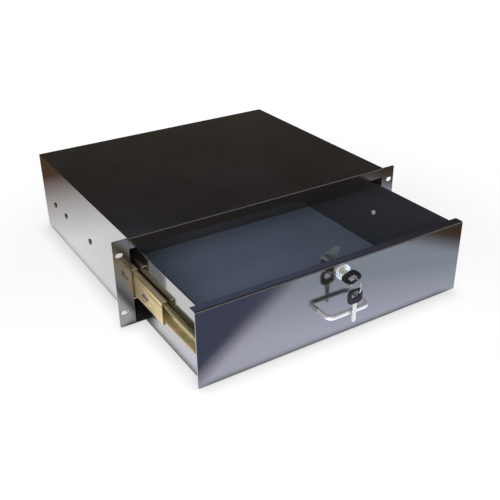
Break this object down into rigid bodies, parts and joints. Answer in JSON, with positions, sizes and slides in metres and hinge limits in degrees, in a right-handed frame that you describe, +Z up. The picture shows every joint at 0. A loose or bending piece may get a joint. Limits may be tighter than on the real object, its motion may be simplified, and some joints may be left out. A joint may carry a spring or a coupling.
{
  "type": "rack drawer",
  "caption": "Sliding drawer in a folded steel case for a 19-inch rack, with ball-bearing slides, a wire pull and a cam lock.",
  "frame": {"origin": "centre of the four rack slots, on the front faces of the rack ears", "axes": "+X across the rack, +Y from the ears' front faces to the back of the case, +Z up; the drawer opens along -Y"},
  "size_m": [0.4826, 0.5791, 0.1326],
  "materials": {
    "black_paint": "gloss black powder coat",
    "zinc_yellow": "yellow zinc plate",
    "zinc": "bright zinc plate",
    "chrome": "polished chrome plate",
    "black_plastic": "moulded black plastic",
    "cage_steel": "pressed thin steel",
    "ball_steel": "ground and polished",
    "black_screw": "black oxide",
    "nickel": "nickel plate"
  },
  "bodies": {
    "chassis": {"chassis_base": "black_paint", "top_cover": "black_paint", "rear_panel": "black_paint", "rear_screws": "black_screw", "lock_strike": "black_paint", "slide_outer_left": "zinc_yellow", "slide_rivets_left": "black_screw", "slide_stop_left": "black_plastic", "slide_outer_right": "zinc_yellow", "slide_rivets_right": "black_screw", "slide_stop_right": "black_plastic"},
    "drawer": {"drawer_front": "black_paint", "drawer_floor": "black_paint", "drawer_inner_front": "black_paint", "drawer_back": "black_paint", "front_screws": "zinc", "handle": "chrome", "handle_screws": "zinc", "lock_housing": "chrome", "lock_nut": "nickel", "drawer_side_left": "black_paint", "slide_inner_left": "zinc_yellow", "inner_screws_left": "zinc", "drawer_side_right": "black_paint", "slide_inner_right": "zinc_yellow", "inner_screws_right": "zinc"},
    "lock": {"lock_plug": "nickel", "lock_cam": "zinc", "cam_screw": "zinc", "key_blade": "nickel", "key_bow": "black_plastic"},
    "spare_key": {"key_ring": "nickel", "spare_key_blade": "nickel", "spare_key_bow": "black_plastic"},
    "middle_left": {"slide_middle_left": "zinc_yellow"},
    "outer_cage_left": {"outer_cage_left": "cage_steel", "outer_balls_left": "ball_steel"},
    "inner_cage_left": {"inner_cage_left": "cage_steel", "inner_balls_left": "ball_steel"},
    "lever_left": {"release_lever_left": "black_plastic"},
    "middle_right": {"slide_middle_right": "zinc_yellow"},
    "outer_cage_right": {"outer_cage_right": "cage_steel", "outer_balls_right": "ball_steel"},
    "inner_cage_right": {"inner_cage_right": "cage_steel", "inner_balls_right": "ball_steel"},
    "lever_right": {"release_lever_right": "black_plastic"}
  },
  "joints": [
    {"name": "drawer_slide", "type": "slide", "parent": "chassis", "child": "drawer", "axis": [0, -1, 0], "range_m": [-0.1755, 0.1745]},
    {"name": "middle_left_slide", "type": "slide", "parent": "chassis", "child": "middle_left", "axis": [0, -1, 0], "range_m": [-0.08785, 0.08735]},
    {"name": "outer_cage_left_roll", "type": "slide", "parent": "chassis", "child": "outer_cage_left", "axis": [0, -1, 0], "range_m": [-0.04398, 0.04372]},
    {"name": "inner_cage_left_roll", "type": "slide", "parent": "chassis", "child": "inner_cage_left", "axis": [0, -1, 0], "range_m": [-0.13173, 0.13098]},
    {"name": "lever_left_press", "type": "hinge", "parent": "drawer", "child": "lever_left", "pos_m": [-0.2088, -0.0275, -0.00628], "axis": [1, 0, 0], "range_deg": [-5, 5], "stiffness_Nm_per_rad": 0.01},
    {"name": "middle_right_slide", "type": "slide", "parent": "chassis", "child": "middle_right", "axis": [0, -1, 0], "range_m": [-0.08785, 0.08735]},
    {"name": "outer_cage_right_roll", "type": "slide", "parent": "chassis", "child": "outer_cage_right", "axis": [0, -1, 0], "range_m": [-0.04398, 0.04372]},
    {"name": "inner_cage_right_roll", "type": "slide", "parent": "chassis", "child": "inner_cage_right", "axis": [0, -1, 0], "range_m": [-0.13173, 0.13098]},
    {"name": "lever_right_press", "type": "hinge", "parent": "drawer", "child": "lever_right", "pos_m": [0.2088, -0.0275, -0.00628], "axis": [1, 0, 0], "range_deg": [-5, 5], "stiffness_Nm_per_rad": 0.01},
    {"name": "lock_turn", "type": "hinge", "parent": "drawer", "child": "lock", "pos_m": [-0.001, -0.17, 0.03422], "axis": [0, -1, 0], "range_deg": [-20, 70]},
    {"name": "spare_key_swing", "type": "hinge", "parent": "lock", "child": "spare_key", "pos_m": [-0.001, -0.204, 0.03699], "axis": [0, -1, 0], "range_deg": [-30, 45]}
  ],
  "couplings": [
    {"joint": "middle_left_slide", "follows": "drawer_slide", "ratio": 0.5},
    {"joint": "outer_cage_left_roll", "follows": "drawer_slide", "ratio": 0.25},
    {"joint": "inner_cage_left_roll", "follows": "drawer_slide", "ratio": 0.75},
    {"joint": "middle_right_slide", "follows": "drawer_slide", "ratio": 0.5},
    {"joint": "outer_cage_right_roll", "follows": "drawer_slide", "ratio": 0.25},
    {"joint": "inner_cage_right_roll", "follows": "drawer_slide", "ratio": 0.75}
  ]
}
